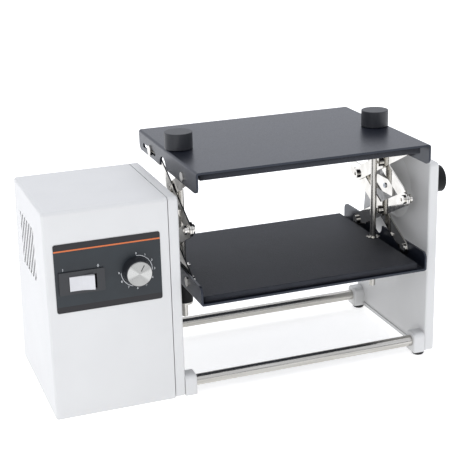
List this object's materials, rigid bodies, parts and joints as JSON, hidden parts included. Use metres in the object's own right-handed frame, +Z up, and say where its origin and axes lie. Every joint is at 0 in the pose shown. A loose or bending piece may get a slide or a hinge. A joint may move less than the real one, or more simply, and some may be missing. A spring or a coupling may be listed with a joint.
{
  "type": "laboratory overhead shaker",
  "caption": "Bench overhead shaker: a motor housing and a side cheek carry a rotor with two padded clamping plates on scissor links, for turning vessels end over end.",
  "frame": {"origin": "table level, at the bottom centre of the whole shaker, directly below the rotor axis", "axes": "+X along the rotor axis from the motor housing to the free cheek, +Y to the rear, +Z up"},
  "size_m": [0.6216, 0.26, 0.351],
  "materials": {
    "white_coat": "satin powder coat",
    "black_coat": "satin",
    "mirror_steel": "polished stainless",
    "tube_steel": "brushed stainless",
    "zinc_steel": "bright zinc",
    "rubber_black": "matt",
    "mat_foam": "fine textured",
    "foil": "satin printed film",
    "black_plastic": "fine satin",
    "white_plastic": "gloss",
    "spun_aluminium": "circular spun",
    "cast_aluminium": "cast",
    "board": "satin"
  },
  "bodies": {
    "frame": {"housing_cover": "white_coat", "base_plate": "white_coat", "cheek_left": "white_coat", "cheek_right": "white_coat", "cheek_cover_right": "white_coat", "cheek_cover_screws": "zinc_steel", "cross_tubes": "tube_steel", "tube_bolts": "zinc_steel", "feet": "rubber_black", "control_foil": "foil", "switch_frame": "black_plastic", "speed_pot": "cast_aluminium", "control_board": "board", "board_posts": "zinc_steel", "power_inlet": "black_plastic", "bearings": "tube_steel", "gear_case": "cast_aluminium", "motor_body": "zinc_steel", "drive_belt": "rubber_black"},
    "rotor": {"drive_shaft": "tube_steel", "tail_shaft": "tube_steel", "hand_knob": "black_plastic", "hub_plates": "mirror_steel", "hub_pins": "mirror_steel", "hub_screws": "zinc_steel", "rotor_pulley": "cast_aluminium"},
    "motor_drive": {"motor_pulley": "cast_aluminium"},
    "rocker": {"rocker": "white_plastic"},
    "speed_dial": {"dial_skirt": "black_plastic", "dial_cap": "spun_aluminium"},
    "upper_clamp": {"upper_plate": "black_coat", "upper_pins": "mirror_steel", "upper_mat": "mat_foam"},
    "lower_clamp": {"lower_plate": "black_coat", "lower_pins": "mirror_steel", "lower_mat": "mat_foam", "rod_bushes": "mirror_steel", "rod_sleeves": "black_plastic", "sleeve_rings": "tube_steel"},
    "rise_link_left": {"link_rise_left": "mirror_steel"},
    "top_link_left": {"link_top_left": "mirror_steel"},
    "fall_link_left": {"link_fall_left": "mirror_steel"},
    "low_link_left": {"link_low_left": "mirror_steel"},
    "lock_rod_left": {"rod_left": "tube_steel", "knob_left": "black_plastic"},
    "rise_link_right": {"link_rise_right": "mirror_steel"},
    "top_link_right": {"link_top_right": "mirror_steel"},
    "fall_link_right": {"link_fall_right": "mirror_steel"},
    "low_link_right": {"link_low_right": "mirror_steel"},
    "lock_rod_right": {"rod_right": "tube_steel", "knob_right": "black_plastic"}
  },
  "joints": [
    {"name": "rotor_turn", "type": "hinge", "parent": "frame", "child": "rotor", "pos_m": [0.0517, 0, 0.2352], "axis": [1, 0, 0], "continuous": true},
    {"name": "motor_turn", "type": "hinge", "parent": "frame", "child": "motor_drive", "pos_m": [-0.1748, 0, 0.128], "axis": [1, 0, 0], "continuous": true},
    {"name": "rocker_tip", "type": "hinge", "parent": "frame", "child": "rocker", "pos_m": [-0.2636, -0.096, 0.194], "axis": [0, 0, 1], "range_deg": [0, 18]},
    {"name": "speed_dial_turn", "type": "hinge", "parent": "frame", "child": "speed_dial", "pos_m": [-0.1919, -0.101, 0.1986], "axis": [0, 1, 0], "range_deg": [-30, 240]},
    {"name": "clamp_height", "type": "hinge", "parent": "rotor", "child": "rise_link_right", "pos_m": [0.2117, 0.074, 0.2352], "axis": [1, 0, 0], "range_deg": [-8, 17.4]},
    {"name": "fall_right", "type": "hinge", "parent": "rotor", "child": "fall_link_right", "pos_m": [0.2117, 0.074, 0.2352], "axis": [1, 0, 0], "range_deg": [-17.6, 8.2]},
    {"name": "top_right", "type": "hinge", "parent": "rise_link_right", "child": "top_link_right", "pos_m": [0.2117, 0, 0.272], "axis": [1, 0, 0], "range_deg": [-35, 16.2]},
    {"name": "low_right", "type": "hinge", "parent": "fall_link_right", "child": "low_link_right", "pos_m": [0.2117, 0, 0.1984], "axis": [1, 0, 0], "range_deg": [-16.2, 35]},
    {"name": "rise_left", "type": "hinge", "parent": "rotor", "child": "rise_link_left", "pos_m": [-0.1083, 0.074, 0.2352], "axis": [1, 0, 0], "range_deg": [-8, 17.4]},
    {"name": "fall_left", "type": "hinge", "parent": "rotor", "child": "fall_link_left", "pos_m": [-0.1083, 0.074, 0.2352], "axis": [1, 0, 0], "range_deg": [-17.6, 8.2]},
    {"name": "top_left", "type": "hinge", "parent": "rise_link_left", "child": "top_link_left", "pos_m": [-0.1083, 0, 0.272], "axis": [1, 0, 0], "range_deg": [-35, 16.2]},
    {"name": "low_left", "type": "hinge", "parent": "fall_link_left", "child": "low_link_left", "pos_m": [-0.1083, 0, 0.1984], "axis": [1, 0, 0], "range_deg": [-16.2, 35]},
    {"name": "upper_level", "type": "hinge", "parent": "rise_link_right", "child": "upper_clamp", "pos_m": [0.2117, -0.074, 0.3088], "axis": [1, 0, 0], "range_deg": [-17.6, 8.2]},
    {"name": "lower_level", "type": "hinge", "parent": "fall_link_right", "child": "lower_clamp", "pos_m": [0.2117, -0.074, 0.1616], "axis": [1, 0, 0], "range_deg": [-8.2, 17.6]},
    {"name": "lock_knob_left", "type": "hinge", "parent": "upper_clamp", "child": "lock_rod_left", "pos_m": [-0.0969, 0, 0.3274], "axis": [0, 0, 1], "range_deg": [-90, 90]},
    {"name": "lock_knob_right", "type": "hinge", "parent": "upper_clamp", "child": "lock_rod_right", "pos_m": [0.2003, 0, 0.3274], "axis": [0, 0, 1], "range_deg": [-90, 90]}
  ],
  "couplings": [
    {"joint": "motor_turn", "follows": "rotor_turn", "ratio": 3.2222},
    {"joint": "rise_left", "follows": "clamp_height", "ratio": 1},
    {"joint": "upper_level", "follows": "clamp_height", "ratio": -1},
    {"joint": "lower_level", "follows": "clamp_height", "ratio": 1},
    {"joint": "fall_right", "follows": "clamp_height", "ratio": -1},
    {"joint": "top_right", "follows": "clamp_height", "ratio": -2},
    {"joint": "low_right", "follows": "clamp_height", "ratio": 2},
    {"joint": "fall_left", "follows": "clamp_height", "ratio": -1},
    {"joint": "top_left", "follows": "clamp_height", "ratio": -2},
    {"joint": "low_left", "follows": "clamp_height", "ratio": 2}
  ]
}
